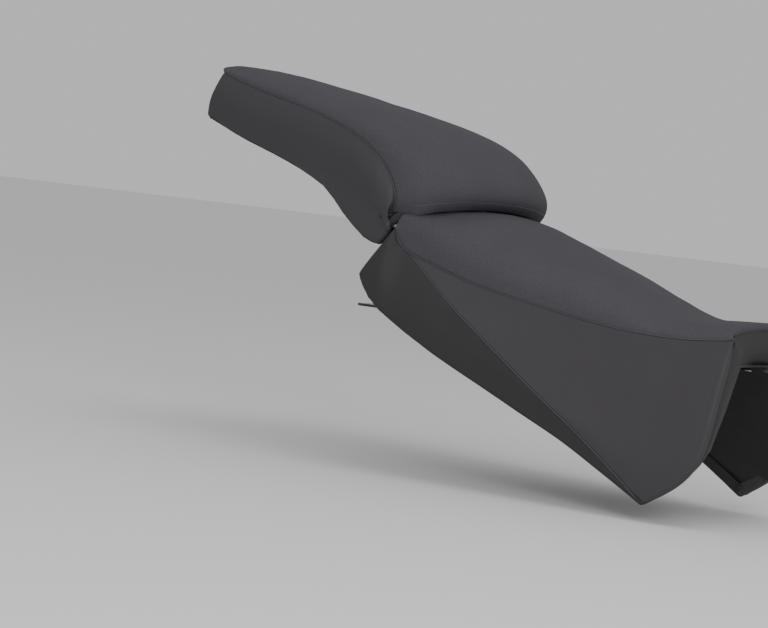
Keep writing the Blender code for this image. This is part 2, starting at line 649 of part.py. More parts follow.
bm = bmesh.new()                        # bolt with its slotted yoke
lathe(bm, ((0, -84), (4, -84), (4, -18), (2.6, -16), (0, -16)), (0, 0, BOLT_Z), (1, 0, 0),
      sides=20)
bolt = finish("lock_bolt", bm, ZINC)
boolean(bolt, [cutter(block, (-58, -46), (-5.5, 5.5), (83, BOLT_Z + 5.5))], "UNION")
boolean(bolt, [cutter(block, (-52 - 3.2, -52 + 3.2), (-9, 9), (80, 96))], "DIFFERENCE")


def turned_lever(x, z):
    """A point of the closed lever, turned to its open rest position."""
    a = math.radians(LEVER_OPEN)
    x, z = x - LEVER[0], z - LEVER[1]
    return (LEVER[0] + x * math.cos(a) + z * math.sin(a),
            LEVER[1] - x * math.sin(a) + z * math.cos(a))


outline = ((42, 16), (42, 22), (38, 32), (38, 46.5), (24, 46.5), (15, 43.5), (15, 41.5),
           (30, 41.5), (30, 30), (27, 24), (-6, 13), (-12, 14), (-12, 9), (-6, 8), (30, 11),
           (38, 11))
bm = bmesh.new()
prism(bm, [turned_lever(x, z) for x, z in outline], -3, 3, along_y)
lever = finish("rider_lever", bm, BLACK_STEEL, (LEVER[0], 0, LEVER[1]))
boolean(lever, [cutter(lathe, ((0, -9), (3.3, -9), (3.3, 9), (0, 9)), (LEVER[0], 0, LEVER[1]),
                       (0, 1, 0), sides=16)], "DIFFERENCE")

bm = bmesh.new()
lathe(bm, ((0, -13.4), (5, -13.4), (5, -11.4), (3, -11.4), (3, 13), (0, 13)),
      (LEVER[0], 0, LEVER[1]), (0, 1, 0), sides=16)
finish("lever_pin", bm, ZINC)

bm = bmesh.new()                        # torsion spring round the pin
turns = 2.5
coil = []
for k in range(int(turns * 14) + 1):
    a = 2 * math.pi * k / 14
    coil.append((LEVER[0] + 4.6 * math.cos(a), 4.0 + 3.2 * k / (turns * 14),
                 LEVER[1] + 4.6 * math.sin(a)))
tube(bm, coil, 0.5, sides=6)
finish("lever_spring", bm, ZINC)
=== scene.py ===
"""Looks of the two-piece motorcycle seat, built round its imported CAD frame.

Lengths are in millimetres until a mesh is made. A seat's skin is one surface
with u from rear (0) to front (1) and w across it: 0 the middle, 1 the side
seam, 2 the lower edge, negative on the right.
"""

import json
import math

import bmesh
import bpy
import numpy as np
from mathutils import Matrix, Vector
from mathutils.bvhtree import BVHTree


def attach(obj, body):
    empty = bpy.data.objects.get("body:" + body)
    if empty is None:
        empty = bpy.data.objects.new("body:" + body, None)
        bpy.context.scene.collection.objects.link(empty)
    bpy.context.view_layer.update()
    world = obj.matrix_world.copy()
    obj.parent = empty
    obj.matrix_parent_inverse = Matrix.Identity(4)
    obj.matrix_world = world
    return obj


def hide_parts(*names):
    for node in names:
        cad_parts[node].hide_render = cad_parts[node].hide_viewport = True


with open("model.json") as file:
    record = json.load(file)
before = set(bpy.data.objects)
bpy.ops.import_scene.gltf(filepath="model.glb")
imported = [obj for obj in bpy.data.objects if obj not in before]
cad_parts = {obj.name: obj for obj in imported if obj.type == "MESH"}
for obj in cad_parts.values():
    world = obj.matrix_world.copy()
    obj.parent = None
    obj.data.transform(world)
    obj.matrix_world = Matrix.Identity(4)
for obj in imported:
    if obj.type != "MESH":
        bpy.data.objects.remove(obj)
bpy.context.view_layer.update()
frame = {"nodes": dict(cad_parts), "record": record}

MM = 0.001
RIDER_SEAM = ((29, 102, 150), (36, 85, 147), (46, 76, 145), (68, 69, 143), (97, 60, 141),
              (136, 49, 138), (182, 40, 134), (231, 32, 130), (320, 20, 122), (400, 18, 114),
              (462, 24, 109))
RIDER_MIDDLE = ((42, 131), (72, 134.5), (115, 130), (166, 115), (206, 101), (247, 87), (306, 62),
                (334, 50), (353, 44), (375, 41), (409, 42), (452, 44))
RIDER_LOWER = ((-3, 44), (1, 32), (19, 12), (51, -9), (97, -32), (204, -79), (281, -113),
               (340, -145), (385, -171))
RIDER_REAR = ((29, 102), (13, 73), (0, 50), (-3, 44))
RIDER_FRONT = ((462, 24), (457, -35), (452, -90), (447, -113), (437, -131), (420, -148),
               (385, -171))
DIAGONAL = ((47, 76), (90, 43), (134, 10), (184, -23), (240, -61), (294, -97), (344, -134),
            (384, -168))
PASS_SEAM = ((-272, 270, 121), (-212, 253, 126), (-140, 237, 131), (-105, 229, 138),
             (-41, 207, 148), (-1, 181, 151), (20, 155, 152), (27, 135, 152), (23, 111, 150))
PASS_MIDDLE = ((-280, 285), (-200, 272), (-100, 254), (-27, 238), (20, 224), (52, 208),
               (80, 182), (96, 158), (98, 146), (88, 135))
PASS_LOWER = ((-290, 212), (-232, 191), (-169, 172), (-111, 152), (-81, 138), (-58, 118),
              (-32, 98), (-10, 84), (8, 81))
PASS_REAR = ((-272, 270), (-282, 240), (-290, 212))
PASS_FRONT = ((23, 111), (17, 94), (8, 81))
# Pans: x, z and half width where the floor turns down into the side walls.
RIDER_FLOOR = ((6, 60), (60, 59), (120, 54), (190, 40), (260, 20), (320, 3), (370, -3),
               (410, -4), (449, -4))
RIDER_CORNER = ((6, 57, 118), (60, 56, 112), (120, 51, 106), (190, 37, 98), (260, 17, 90),
                (320, 1, 80), (370, -3, 73), (410, -4, 71), (455, -4, 70))
RIDER_PAN_FRONT = ((455, -4), (454, -40), (450, -90), (445, -112), (435, -129), (419, -146),
                   (385, -171))
PASS_FLOOR = ((-278, 236), (-200, 212), (-120, 180), (-60, 146), (-10, 132), (40, 137), (83, 140))
PASS_CORNER = ((-278, 232, 92), (-200, 208, 104), (-120, 176, 112), (-60, 142, 118),
               (-10, 129, 120), (35, 133, 116), (66, 134, 112))
PASS_PAN_FRONT = ((66, 134), (50, 129), (34, 124), (18, 108), (8, 81))


# ---------------------------------------------------------------- surfaces
def curve(points, count):
    """Catmull-Rom curve through the points, sampled evenly along its length."""
    p = np.array(points, float)
    p = np.vstack([2 * p[0] - p[1], p, 2 * p[-1] - p[-2]])
    fine = []
    for i in range(1, len(p) - 2):
        knots = np.sqrt(np.linalg.norm(np.diff(p[i - 1:i + 3], axis=0), axis=1))
        t0, t1, t2, t3 = np.concatenate([[0.0], np.cumsum(knots)])
        t = np.linspace(t1, t2, 40)[:, None]
        a1 = ((t1 - t) * p[i - 1] + (t - t0) * p[i]) / (t1 - t0)
        a2 = ((t2 - t) * p[i] + (t - t1) * p[i + 1]) / (t2 - t1)
        a3 = ((t3 - t) * p[i + 1] + (t - t2) * p[i + 2]) / (t3 - t2)
        b1 = ((t2 - t) * a1 + (t - t0) * a2) / (t2 - t0)
        b2 = ((t3 - t) * a2 + (t - t1) * a3) / (t3 - t1)
        fine.append(((t2 - t) * b1 + (t - t1) * b2) / (t2 - t1))
    fine = np.vstack(fine)
    along = np.append(0, np.cumsum(np.linalg.norm(np.diff(fine, axis=0), axis=1)))
    at = np.linspace(0, along[-1], count)
    return np.stack([np.interp(at, along, fine[:, k]) for k in range(fine.shape[1])], 1)


def patch(top, bottom, rear, front, n, m):
    """Coons patch in side view: n points along, m points from top to bottom."""
    top, bottom = curve(top, n)[:, None], curve(bottom, n)[:, None]
    rear, front = curve(rear, m)[None], curve(front, m)[None]
    u = np.linspace(0, 1, n)[:, None, None]
    v = np.linspace(0, 1, m)[None, :, None]
    corners = ((1 - u) * (1 - v) * top[0, 0] + u * (1 - v) * top[-1, 0]
               + (1 - u) * v * bottom[0, 0] + u * v * bottom[-1, 0])
    return (1 - v) * top + v * bottom + (1 - u) * rear + u * front - corners


def dome(seam, middle, n, m, squareness):
    """The top panel's left half, from the middle out to the seam."""
    seam, middle = curve(seam, n), curve(middle, n)
    angle = np.linspace(0, 1, m)[None] * math.pi / 2
    out = np.sin(angle) ** 0.93
    up = np.cos(angle) ** squareness
    x = seam[:, :1] + (middle[:, :1] - seam[:, :1]) * up
    z = seam[:, 1:2] + (middle[:, 1:2] - seam[:, 1:2]) * up
    return np.stack([x, seam[:, 2:3] * out, z], -1)


def below_seam(seam, x, z):
    """The seam's half width over a point in side view, and the point's depth below it."""
    s = np.array(seam, float)
    order = np.argsort(s[:, 0])
    drop = np.maximum(np.interp(x, s[order, 0], s[order, 1]) - z, 0)
    return np.interp(x, s[order, 0], s[order, 2]), drop


def rider_width(x, z):
    """Half width of the rider seat's side at a point in side view."""
    width, drop = below_seam(RIDER_SEAM, x, z)
    flare = np.interp(x, (-3, 100, 250, 460), (17, 24, 24, 20))
    depth = np.interp(x, (-3, 100, 250, 460), (60, 90, 140, 190))
    return width + flare * np.sin(np.minimum(drop / depth, 1) * math.pi / 2)


def pass_width(x, z):
    """Half width of the passenger seat's side at a point in side view."""
    width, drop = below_seam(PASS_SEAM[:7], x, z)
    return width + 8 * np.sin(np.minimum(drop / 60, 1) * math.pi)


N, M = 241, 61       # samples of a skin along, and across each of its zones


def skin_of(seam, middle, squareness, lower, rear, front, width):
    """A cushion's skin as a grid, from the right lower edge over the top to the left one."""
    top = dome(seam, middle, N, M, squareness)
    side = patch([p[:2] for p in seam], lower, rear, front, N, M)
    y = width(side[..., 0], side[..., 1])
    side = np.stack([side[..., 0], y, side[..., 1]], -1)
    half = np.concatenate([top, side[:, 1:]], axis=1)
    return np.concatenate([half[:, :0:-1] * (1, -1, 1), half], axis=1)


def smooth(grid, times):
    """Evens out the skin inside each zone, leaving seams and edges where they are."""
    grid = grid.copy()
    zones = (0, M - 1, 3 * (M - 1), 4 * (M - 1))
    for _ in range(times):
        grid[1:-1] = 0.5 * grid[1:-1] + 0.25 * (grid[:-2] + grid[2:])
        for a, b in zip(zones, zones[1:]):
            part = grid[:, a:b + 1]
            part[:, 1:-1] = 0.5 * part[:, 1:-1] + 0.25 * (part[:, :-2] + part[:, 2:])
    return grid


def pan_of(floor, corner, lower, rear, front, width, power):
    """The outer face of the pan under a cushion, as a grid like the skin's."""
    corner, floor = curve(corner, N), curve(floor, N)
    across = np.linspace(0, 1, M)[None, :]
    x = floor[:, :1] + (corner[:, :1] - floor[:, :1]) * across ** 2
    z = floor[:, 1:] + (corner[:, 1:2] - floor[:, 1:]) * across ** 2
    top = np.stack([x, corner[:, 2:3] * across, z], -1)
    side = patch(corner[:, :2], lower, rear, front, N, M)
    inset = width(side[:, :1, 0], side[:, :1, 1]) - 2.5 - corner[:, 2:3]
    y = width(side[..., 0], side[..., 1]) - 2.5
    y = y - inset * (1 - np.linspace(0, 1, M)[None]) ** power
    side = np.stack([side[..., 0], y, side[..., 1]], -1)
    half = np.concatenate([top, side[:, 1:]], axis=1)
    return np.concatenate([half[:, :0:-1] * (1, -1, 1), half], axis=1)


class Skin:
    """A grid of points, smoothed, that is read with its normals at any u and w."""

    def __init__(self, grid, smoothing=14):
        self.grid = smooth(grid, smoothing)
        self.normal = self.normals()

    def normals(self):
        """Outward normals from the grid's central differences."""
        g = self.grid
        n = np.cross(np.gradient(g, axis=0), np.gradient(g, axis=1))
        return n / np.maximum(np.linalg.norm(n, axis=-1, keepdims=True), 1e-9)

    def read(self, values, u, w):
        i = np.clip(u, 0, 1) * (N - 1)
        j = (np.clip(w, -2, 2) + 2) / 4 * (values.shape[1] - 1)
        i0 = np.minimum(i.astype(int), N - 2)
        j0 = np.minimum(j.astype(int), values.shape[1] - 2)
        fi, fj = (i - i0)[..., None], (j - j0)[..., None]
        return ((1 - fi) * (1 - fj) * values[i0, j0] + fi * (1 - fj) * values[i0 + 1, j0]
                + (1 - fi) * fj * values[i0, j0 + 1] + fi * fj * values[i0 + 1, j0 + 1])

    def at(self, u, w, out=0.0):
        u, w = np.broadcast_arrays(np.asarray(u, float), np.asarray(w, float))
        n = self.read(self.normal, u, w)
        n = n / np.linalg.norm(n, axis=-1, keepdims=True)
        return self.read(self.grid, u, w) + np.asarray(out, float)[..., None] * n


fullness = 0.72 - 0.4 * np.exp(-(np.linspace(0, 1, N)[:, None] / 0.15) ** 2)
rider = Skin(skin_of(RIDER_SEAM, RIDER_MIDDLE, fullness, RIDER_LOWER, RIDER_REAR, RIDER_FRONT,
                     rider_width))
passenger = Skin(skin_of(PASS_SEAM, PASS_MIDDLE, 0.62, PASS_LOWER, PASS_REAR, PASS_FRONT,
                         pass_width))
rider_pan = Skin(pan_of(RIDER_FLOOR, RIDER_CORNER, RIDER_LOWER, ((6, 57), (2, 50), (-3, 44)),
                        RIDER_PAN_FRONT, rider_width, 1.3), 0)
passenger_pan = Skin(pan_of(PASS_FLOOR, PASS_CORNER, PASS_LOWER,
                            ((-278, 232), (-283, 222), (-285, 211)), PASS_PAN_FRONT,
                            pass_width, 2.2), 0)


# ---------------------------------------------------------------- materials
def node(tree, kind, **inputs):
    """A new shader node with the given values on its unlinked inputs."""
    made = tree.nodes.new(kind)
    for key, value in inputs.items():
        made.inputs[key.replace("_", " ")].default_value = value
    return made


def surface_material(name, colour, roughness, grain_mm, bump_mm, mottle=0.06, fleck=0.1,
                     metallic=0.0, coat=0.0, cells=False, specular=0.5):
    """Principled material with a procedural grain and a faint colour mottle."""
    made = bpy.data.materials.new(name)
    made.use_nodes = True
    tree = made.node_tree
    shader = tree.nodes["Principled BSDF"]
    shader.inputs["Metallic"].default_value = metallic
    shader.inputs["Coat Weight"].default_value = coat
    shader.inputs["Specular IOR Level"].default_value = specular
    place = tree.nodes.new("ShaderNodeTexCoord")
    fine = node(tree, "ShaderNodeTexNoise", Scale=1 / (grain_mm * MM), Detail=4.0)
    tree.links.new(place.outputs["Object"], fine.inputs["Vector"])
    broad = node(tree, "ShaderNodeTexNoise", Scale=14.0, Detail=3.0)
    tree.links.new(place.outputs["Object"], broad.inputs["Vector"])
    tint = node(tree, "ShaderNodeMapRange", **{"To_Min": 1 - mottle, "To_Max": 1 + mottle})
    tree.links.new(broad.outputs["Fac"], tint.inputs["Value"])
    spots = node(tree, "ShaderNodeMapRange", **{"To_Min": 1 - fleck, "To_Max": 1 + fleck})
    tree.links.new(fine.outputs["Fac"], spots.inputs["Value"])
    both = tree.nodes.new("ShaderNodeMath")
    both.operation = "MULTIPLY"
    tree.links.new(tint.outputs["Result"], both.inputs[0])
    tree.links.new(spots.outputs["Result"], both.inputs[1])
    scale = tree.nodes.new("ShaderNodeVectorMath")
    scale.operation = "SCALE"
    scale.inputs[0].default_value = colour
    tree.links.new(both.outputs["Value"], scale.inputs["Scale"])
    tree.links.new(scale.outputs["Vector"], shader.inputs["Base Color"])
    rough = node(tree, "ShaderNodeMapRange", **{"To_Min": roughness - 0.05,
                                                "To_Max": roughness + 0.05})
    tree.links.new(broad.outputs["Fac"], rough.inputs["Value"])
    tree.links.new(rough.outputs["Result"], shader.inputs["Roughness"])
    bump = node(tree, "ShaderNodeBump", Strength=1.0, Distance=bump_mm * MM)
    height = fine.outputs["Fac"]
    if cells:
        grain = node(tree, "ShaderNodeTexVoronoi", Scale=1 / (grain_mm * MM))
        grain.feature = "DISTANCE_TO_EDGE"
        tree.links.new(place.outputs["Object"], grain.inputs["Vector"])
        height = grain.outputs["Distance"]
    tree.links.new(height, bump.inputs["Height"])
    tree.links.new(bump.outputs["Normal"], shader.inputs["Normal"])
    return made


cloth = surface_material("seat_fabric_look", (0.074, 0.072, 0.081), 0.9, 1.3, 0.10,
                         mottle=0.12, fleck=0.4, specular=0.12)
vinyl = surface_material("side_vinyl_look", (0.050, 0.047, 0.051), 0.58, 0.9, 0.04,
                         mottle=0.06, fleck=0.12, cells=True, specular=0.3)
# lighter than the cloth: a painted highlight for the light caught on the seam folds and along the
# hem line
highlight_bead = surface_material("seam_highlight_bead_look", (0.085, 0.082, 0.088), 0.5, 0.6, 0.02, mottle=0.02)
# a darker copy of the side vinyl: painted shade on the rider seat's rear panels, turned from the
# light, and in the cushions' closed ends
shaded_vinyl = surface_material("shaded_vinyl_look", (0.037, 0.035, 0.037), 0.62, 0.9, 0.04,
                              mottle=0.06, fleck=0.12, cells=True, specular=0.25)
plastic = surface_material("pan_plastic_look", (0.02, 0.02, 0.021), 0.5, 0.6, 0.03)
rubber = surface_material("bumper_rubber_look", (0.012, 0.012, 0.012), 0.75, 1.2, 0.03)
zinc = surface_material("zinc_steel_look", (0.6, 0.58, 0.53), 0.32, 1.5, 0.01, mottle=0.05,
                        metallic=1.0)
black = surface_material("black_steel_look", (0.016, 0.016, 0.017), 0.4, 0.8, 0.03, coat=0.2)
LOOKS = {"pan_plastic": plastic, "bumper_rubber": rubber, "zinc_steel": zinc,
         "black_steel": black}
for entry in frame["record"]["subparts"]:
    look = LOOKS.get(entry["material_slot"])
    if look:
        for place in frame["nodes"][entry["node"]].material_slots:
            place.material = look


# ---------------------------------------------------------------- skin pieces
ROLL = 5.5           # radius of a cover's roll round an edge
TUCK = 9.0           # how far it runs up inside
SHELL = 1.2          # a cover's thickness
LEAST_ROLL = 0.18    # share of the roll that is left where an edge meets a top seam
FULL_ROLL = 22.0     # distance from the seam at which the roll is full size
FAN = 7              # rows added where a skirt turns a corner
HEM_LINE = 15.0      # height of the hem's stitching over the passenger cover's front edge
NOSE_LINE = 10.0     # distance of the crease from the rider cover's front edge
BEAD_RADIUS = 0.5
BEAD_POINTS = 300
WELD = 0.04 * MM     # points of one piece nearer than this, in metres, are joined
LENGTH = {"rider": 470.0, "passenger": 400.0}


def length_of(skin):
    """About how many mm a skin's u spans."""
    return LENGTH["rider" if skin is rider else "passenger"]


def mesh_of(name, grids, look):
    """One mesh in metres from grids of points whose shared edges are welded."""
    bm = bmesh.new()
    for grid in grids:
        rows = [[bm.verts.new(tuple(p)) for p in row] for row in grid * MM]
        for low, high in zip(rows, rows[1:]):
            for k in range(len(low) - 1):
                bm.faces.new((low[k], high[k], high[k + 1], low[k + 1]))
    bmesh.ops.remove_doubles(bm, verts=bm.verts, dist=WELD)
    bmesh.ops.recalc_face_normals(bm, faces=bm.faces)
    mesh = bpy.data.meshes.new(name)
    bm.to_mesh(mesh)
    bm.free()
    mesh.materials.append(look)
    mesh.shade_smooth()
    obj = bpy.data.objects.new(name, mesh)
    bpy.context.scene.collection.objects.link(obj)
    return obj


# Distances from a sewn edge, in mm, at which a panel has points.
CLOSE = np.array((0, 0.3, 0.6, 0.9, 1.3, 1.8, 2.5, 3.5, 5, 7, 10, 14))


def steps(start, end, count, near_start=0.0, near_end=0.0):
    """Values from start to end, closer together at an end that is sewn.

    near_* is how many mm one unit spans at that end, or 0 where it is not sewn.
    """
    sign = 1 if end > start else -1
    low = start + sign * CLOSE / near_start if near_start else np.array([start])
    high = end - sign * CLOSE[::-1] / near_end if near_end else np.array([end])
    return np.concatenate([low, np.linspace(low[-1], high[0], count)[1:-1], high])


def seam_dip(distance):
    """How far a panel is drawn in, by its distance in mm from a seam."""
    d = np.maximum(distance, 0)
    return 0.9 * np.exp(-(d / 0.9) ** 2) + 0.5 * np.exp(-d / 5)


def waves(points, size, height, seed):
    """Gentle unevenness of a stretched cover over its foam, in mm."""
    random = np.random.default_rng(seed)
    total = np.zeros(points.shape[:-1])
    for _ in range(14):
        way = random.normal(size=3)
        way = way / np.linalg.norm(way) * 2 * math.pi / (size * random.uniform(0.7, 1.6))
        total = total + np.sin(points @ way + random.uniform(0, 2 * math.pi))
    return total * height / 3.7


def tucks(skin, u, w):
    """Small gathers where the passenger cover is pulled round its front lower corner."""
    if skin is not passenger:
        return 0.0
    across = abs(w) - 1
    near = np.exp(-((1 - u) * LENGTH["passenger"] / 20) ** 2) * np.exp(-(across / 0.42) ** 2)
    return 0.3 * near * np.sin(2 * math.pi * (across * 5.5 + (1 - u) * 9))


def front_hem(skin, u, w):
    """The passenger cover rolls under at its front, with a line of stitching above."""
    if skin is not passenger:
        return 0.0
    high = (1 - u) * LENGTH["passenger"]
    line = 0.4 * np.exp(-((high - HEM_LINE) / 0.8) ** 2) * (abs(w) < 1.0)
    fade = np.clip((1.3 - abs(w)) / 0.3, 0, 1)
    return -line - 8.0 * fade * np.exp(-(high / 15) ** 2)


def tree_of(skin):
    """The skin as a tree for ray casts, in millimetres."""
    rows, columns = skin.grid.shape[:2]
    faces = [(i * columns + j, (i + 1) * columns + j, (i + 1) * columns + j + 1,
              i * columns + j + 1) for i in range(rows - 1) for j in range(columns - 1)]
    return BVHTree.FromPolygons([tuple(p) for p in skin.grid.reshape(-1, 3)], faces)


rider_tree = tree_of(rider)
MOST_SINK = 11.0     # how far the passenger cover's hem may sink to reach the rider seat
HEM_SINK = 1.8       # how far above the tail its edge line is aimed at, before it rolls under


def hem_gap():
    """How far above the rider seat's tail the passenger cover's hem ends, by w."""
    w = np.linspace(-1, 1, 161)
    u = np.full(161, 1 - ROLL / LENGTH["passenger"])
    ends = passenger.at(u, w, front_hem(passenger, u, w))
    gap = np.full(161, np.nan)
    for k, (x, y, z) in enumerate(ends):
        hit = rider_tree.ray_cast(Vector((x, y, 400.0)), Vector((0, 0, -1)))[0]
        if hit is not None:
            gap[k] = z - hit.z - HEM_SINK
    found = ~np.isnan(gap)
    gap = np.clip(np.interp(w, w[found], gap[found]), -5, MOST_SINK)
    for _ in range(12):
        gap[1:-1] = 0.5 * gap[1:-1] + 0.25 * (gap[:-2] + gap[2:])
    return w, gap


def settle(skin, u, w, points):
    """The passenger cover's front hem lies on the rider seat's tail."""
    if skin is not passenger:
        return points
    high = (1 - u) * LENGTH["passenger"]
    share = np.exp(-(high / 16) ** 2) * np.clip((1.4 - abs(w)) / 0.4, 0, 1)
    return points - np.array((0, 0, 1)) * (share * np.interp(w, *hem_sink))[..., None]


def bent(skin, u, w, out):
    """Skin points with the given offsets and the cover's own unevenness."""
    points = skin.at(u, w)
    even = points * (1, 0, 1) + abs(points) * (0, 1, 0)
    out = out + tucks(skin, u, w) + front_hem(skin, u, w)
    points = skin.at(u, w, out + waves(even, 70, 0.45, 3) + waves(even, 24, 0.10, 5))
    return settle(skin, u, w, points)


hem_sink = hem_gap()


def unit(v):
    """The vectors with their length made 1."""
    return v / np.maximum(np.linalg.norm(v, axis=-1, keepdims=True), 1e-9)


def share_of_roll(skin, u, w):
    """A cover's roll is full size, but small where it meets a top seam."""
    seam = skin.at(u, np.where(w < 0, -1.0, 1.0))
    return np.clip(np.linalg.norm(skin.at(u, w) - seam, axis=-1) / FULL_ROLL, LEAST_ROLL, 1)


def to_ends(skin, uu, ww):
    """Stretches a panel's rows so that its edge is one roll short of the skin's end."""
    for end in (0, 1):
        short = ROLL * (1 - share_of_roll(skin, 0 * ww + end, ww)) / length_of(skin)
        near = np.exp(-abs(uu - end) * length_of(skin) / 25)
        uu = uu + (2 * end - 1) * short * near
    return uu


def skirt(points, normals, off, size):
    """Carries a cover from its boundary points round the edge and up inside."""
    n = unit(normals)
    d = unit(off - (off * n).sum(-1, keepdims=True) * n)
    roll = ROLL * size[:, None]
    rows = [points]
    for a in np.linspace(0, math.pi, 12)[1:]:
        rows.append(points - roll * n + roll * (math.cos(a) * n + math.sin(a) * d))
    for t in (3, 6, TUCK):
        rows.append(points - 2 * roll * n - d * t * size[:, None] ** 2)
    return np.stack(rows, axis=1)


def wrap(skin, grid, uu, ww, side, lines):
    """One skirt along a panel's free edges, taken in order, with a fan at each corner."""
    points, normals, off, sizes = [], [], [], []
    for line in lines:
        at = {"rear": (0, slice(None)), "low": (slice(None), -1),
              "front": (-1, slice(None, None, -1))}[line]
        u, w = uu[at], ww[at]
        aim = {"rear": skin.at(0 * u, w), "low": skin.at(u, 2.0 * side + 0 * w),
               "front": skin.at(0 * u + 1, w)}[line]
        n = unit(skin.read(skin.normal, u, w))
        d = unit(np.cross(np.gradient(skin.at(u, w), axis=0), n))
        d = d * np.sign((d * (aim - skin.at(u, w))).sum())
        if skin is passenger and line == "front":
            # the hem rolls under, so its edge points where the panel itself does
            away = (grid[-1] - grid[-3])[::-1]
            along = unit(np.gradient(skin.at(u, w), axis=0))
            d = unit(away - (away * along).sum(-1, keepdims=True) * along)
            n = unit(n - (n * d).sum(-1, keepdims=True) * d)
        if points:
            share = np.linspace(0, 1, FAN + 2)[1:-1, None]
            points.append(np.repeat(grid[at][:1], FAN, axis=0))
            normals.append(normals[-1][-1] * (1 - share) + n[:1] * share)
            off.append(off[-1][-1] * (1 - share) + d[:1] * share)
            sizes.append(np.ones(FAN))
        points.append(grid[at])
        normals.append(n)
        off.append(d)
        sizes.append(share_of_roll(skin, u, w) if line != "low" else np.ones(len(u)))
    return skirt(*map(np.concatenate, (points, normals, off, sizes)))


def solid(obj):
    """Gives a cover its thickness, inwards."""
    step = obj.modifiers.new("cloth", "SOLIDIFY")
    step.thickness = SHELL * MM
    step.offset = -1.0
    return obj


def dress(obj, body, slot, *nodes):
    """Attaches a cover to its body and hides the CAD nodes it stands for; the slot argument is
    not used.
    """
    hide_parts(*nodes)
    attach(obj, body)
    return obj


def top_panel(name, skin):
    """The fabric panel between the two top seams, with its rolled ends."""
    length = length_of(skin)
    side = float(np.linalg.norm(skin.at(0.5, 1.0) - skin.at(0.5, 0.97)) / 0.03)
    u = steps(ROLL / length, 1 - ROLL / length, 150)
    w = steps(-1, 1, 80, side, side)
    uu, ww = np.meshgrid(u, w, indexing="ij")
    away = (1 - abs(ww)) * side
    uu = to_ends(skin, uu, ww)
    grid = bent(skin, uu, ww, -seam_dip(away))
    ends = [wrap(skin, grid, uu, ww, 1, [line]) for line in ("rear", "front")]
    return mesh_of(name, [grid, *ends], cloth)


def side_grid(skin, u, start, end, sewn_low, side, crease=False):
    """A side panel's points between two lines, start and end, given as w for each u."""
    share = steps(0, 1, 30, 90, 90 if sewn_low else 0)
    uu = np.repeat(u[:, None], len(share), axis=1)
    ww = start[:, None] * (1 - share) + end[:, None] * share
    uu = to_ends(skin, uu, ww * side)
    high = np.linalg.norm(skin.at(u, start * side) - skin.at(u, end * side), axis=-1)[:, None]
    out = -seam_dip(share[None] * high)
    if sewn_low:
        out = out - seam_dip((1 - share[None]) * high)
    if crease:
        out = out - 0.45 * np.exp(-(((1 - uu) * length_of(skin) - NOSE_LINE) / 0.9) ** 2)
    out = out + ridge(skin, uu, ww)
    return bent(skin, uu, ww * side, out), uu, ww * side


def ridge(skin, u, w):
    """The rider seat's side stands out along the diagonal seam and falls away from it."""
    if skin is not rider:
        return 0.0
    seam = np.clip(np.polyval(fit, u), 1, 2)
    fade = np.clip((u - u_first) / 0.25, 0, 1) * np.clip((u_last - u) / 0.2, 0, 1)
    high = np.linalg.norm(skin.at(u, 2.0) - skin.at(u, 1.0), axis=-1)
    away = abs(w - seam) * high
    edge = np.clip((2 - w) * high / 30, 0, 1) * np.clip((w - 1) * high / 40, 0, 1)
    return 6.0 * fade * edge * np.exp(-away / 32)


def low_edge(skin, u):
    """w of the line that lies one roll above the lower edge."""
    span = np.linalg.norm(skin.at(u, 2.0) - skin.at(u, 1.9), axis=-1) / 0.1
    return 2 - ROLL / np.maximum(span, ROLL / 0.3)


def diagonal_line(skin):
    """u where the diagonal seam starts and ends, and a fit of its w."""
    side = skin.grid[:, 3 * (M - 1):]
    found = []
    for x, z in curve(DIAGONAL, 160):
        far = np.hypot(side[..., 0] - x, side[..., 2] - z)
        i, j = np.unravel_index(far.argmin(), far.shape)
        found.append((i / (N - 1), 1 + j / (M - 1)))
    found = np.array(sorted(found))
    return found[0, 0], found[-1, 0], np.polyfit(found[:, 0], found[:, 1], 7)


def highlight_bead_line(name, skin, u, w, radius, out, look, body):
    """A thin tube along a line of the skin; in the lighter seam look it is a painted highlight
    along a fold.
    """
    points = bent(skin, u, w, out + ridge(skin, u, abs(w)))
    ahead = unit(np.gradient(points, axis=0))
    up = unit(skin.read(skin.normal, u, w))
    across = unit(np.cross(ahead, up))
    up = np.cross(across, ahead)
    turn = np.linspace(0, 2 * math.pi, 9)
    along = np.linspace(0, 1, len(u))
    radius = radius * np.clip(np.minimum(along, 1 - along) / 0.02, 0.05, 1)[:, None, None]
    ring = points[:, None] + radius * (np.cos(turn)[None, :, None] * across[:, None]
                                       + np.sin(turn)[None, :, None] * up[:, None])
    obj = mesh_of(name, [ring], look)
    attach(obj, body)
    return obj


def end_cover(name, skin, pan, u, nodes, body):
    """Closes a cushion's open end between its cover's edge and its pan."""
    w = np.linspace(-1.97, 1.97, 240)
    inset = ROLL + SHELL + np.interp(abs(w), (0.85, 1, 1.15), (0, 1.0, 0))
    # under the passenger cover's hem the end cover stays further in
    under_hem = skin is passenger and u > 0.5
    inset = inset + 3 * under_hem * np.exp(-((abs(w) - 1.25) / 0.15) ** 2)
    back = 0.004 + 0.016 * under_hem * np.clip((0.95 - abs(w)) / 0.15, 0, 1)
    top = bent(skin, abs(u - back), w, -inset)
    low = pan.at(np.full(len(w), u), w, 0.3)
    share = np.linspace(0, 1, 9)[None, :, None]
    face = top[:, None] * (1 - share) + low[:, None] * share
    way = 1 if u > 0.5 else -1
    gap = np.linalg.norm(top - low, axis=-1)[:, None, None]
    face = face + np.minimum(2.0, gap * 0.1) * np.sin(math.pi * share) * np.array((way, 0, 0))
    # the end cover takes the darker vinyl: painted shade in the closed end
    obj = mesh_of(name, [face], shaded_vinyl)
    return dress(solid(obj), body, "side_vinyl", *nodes)


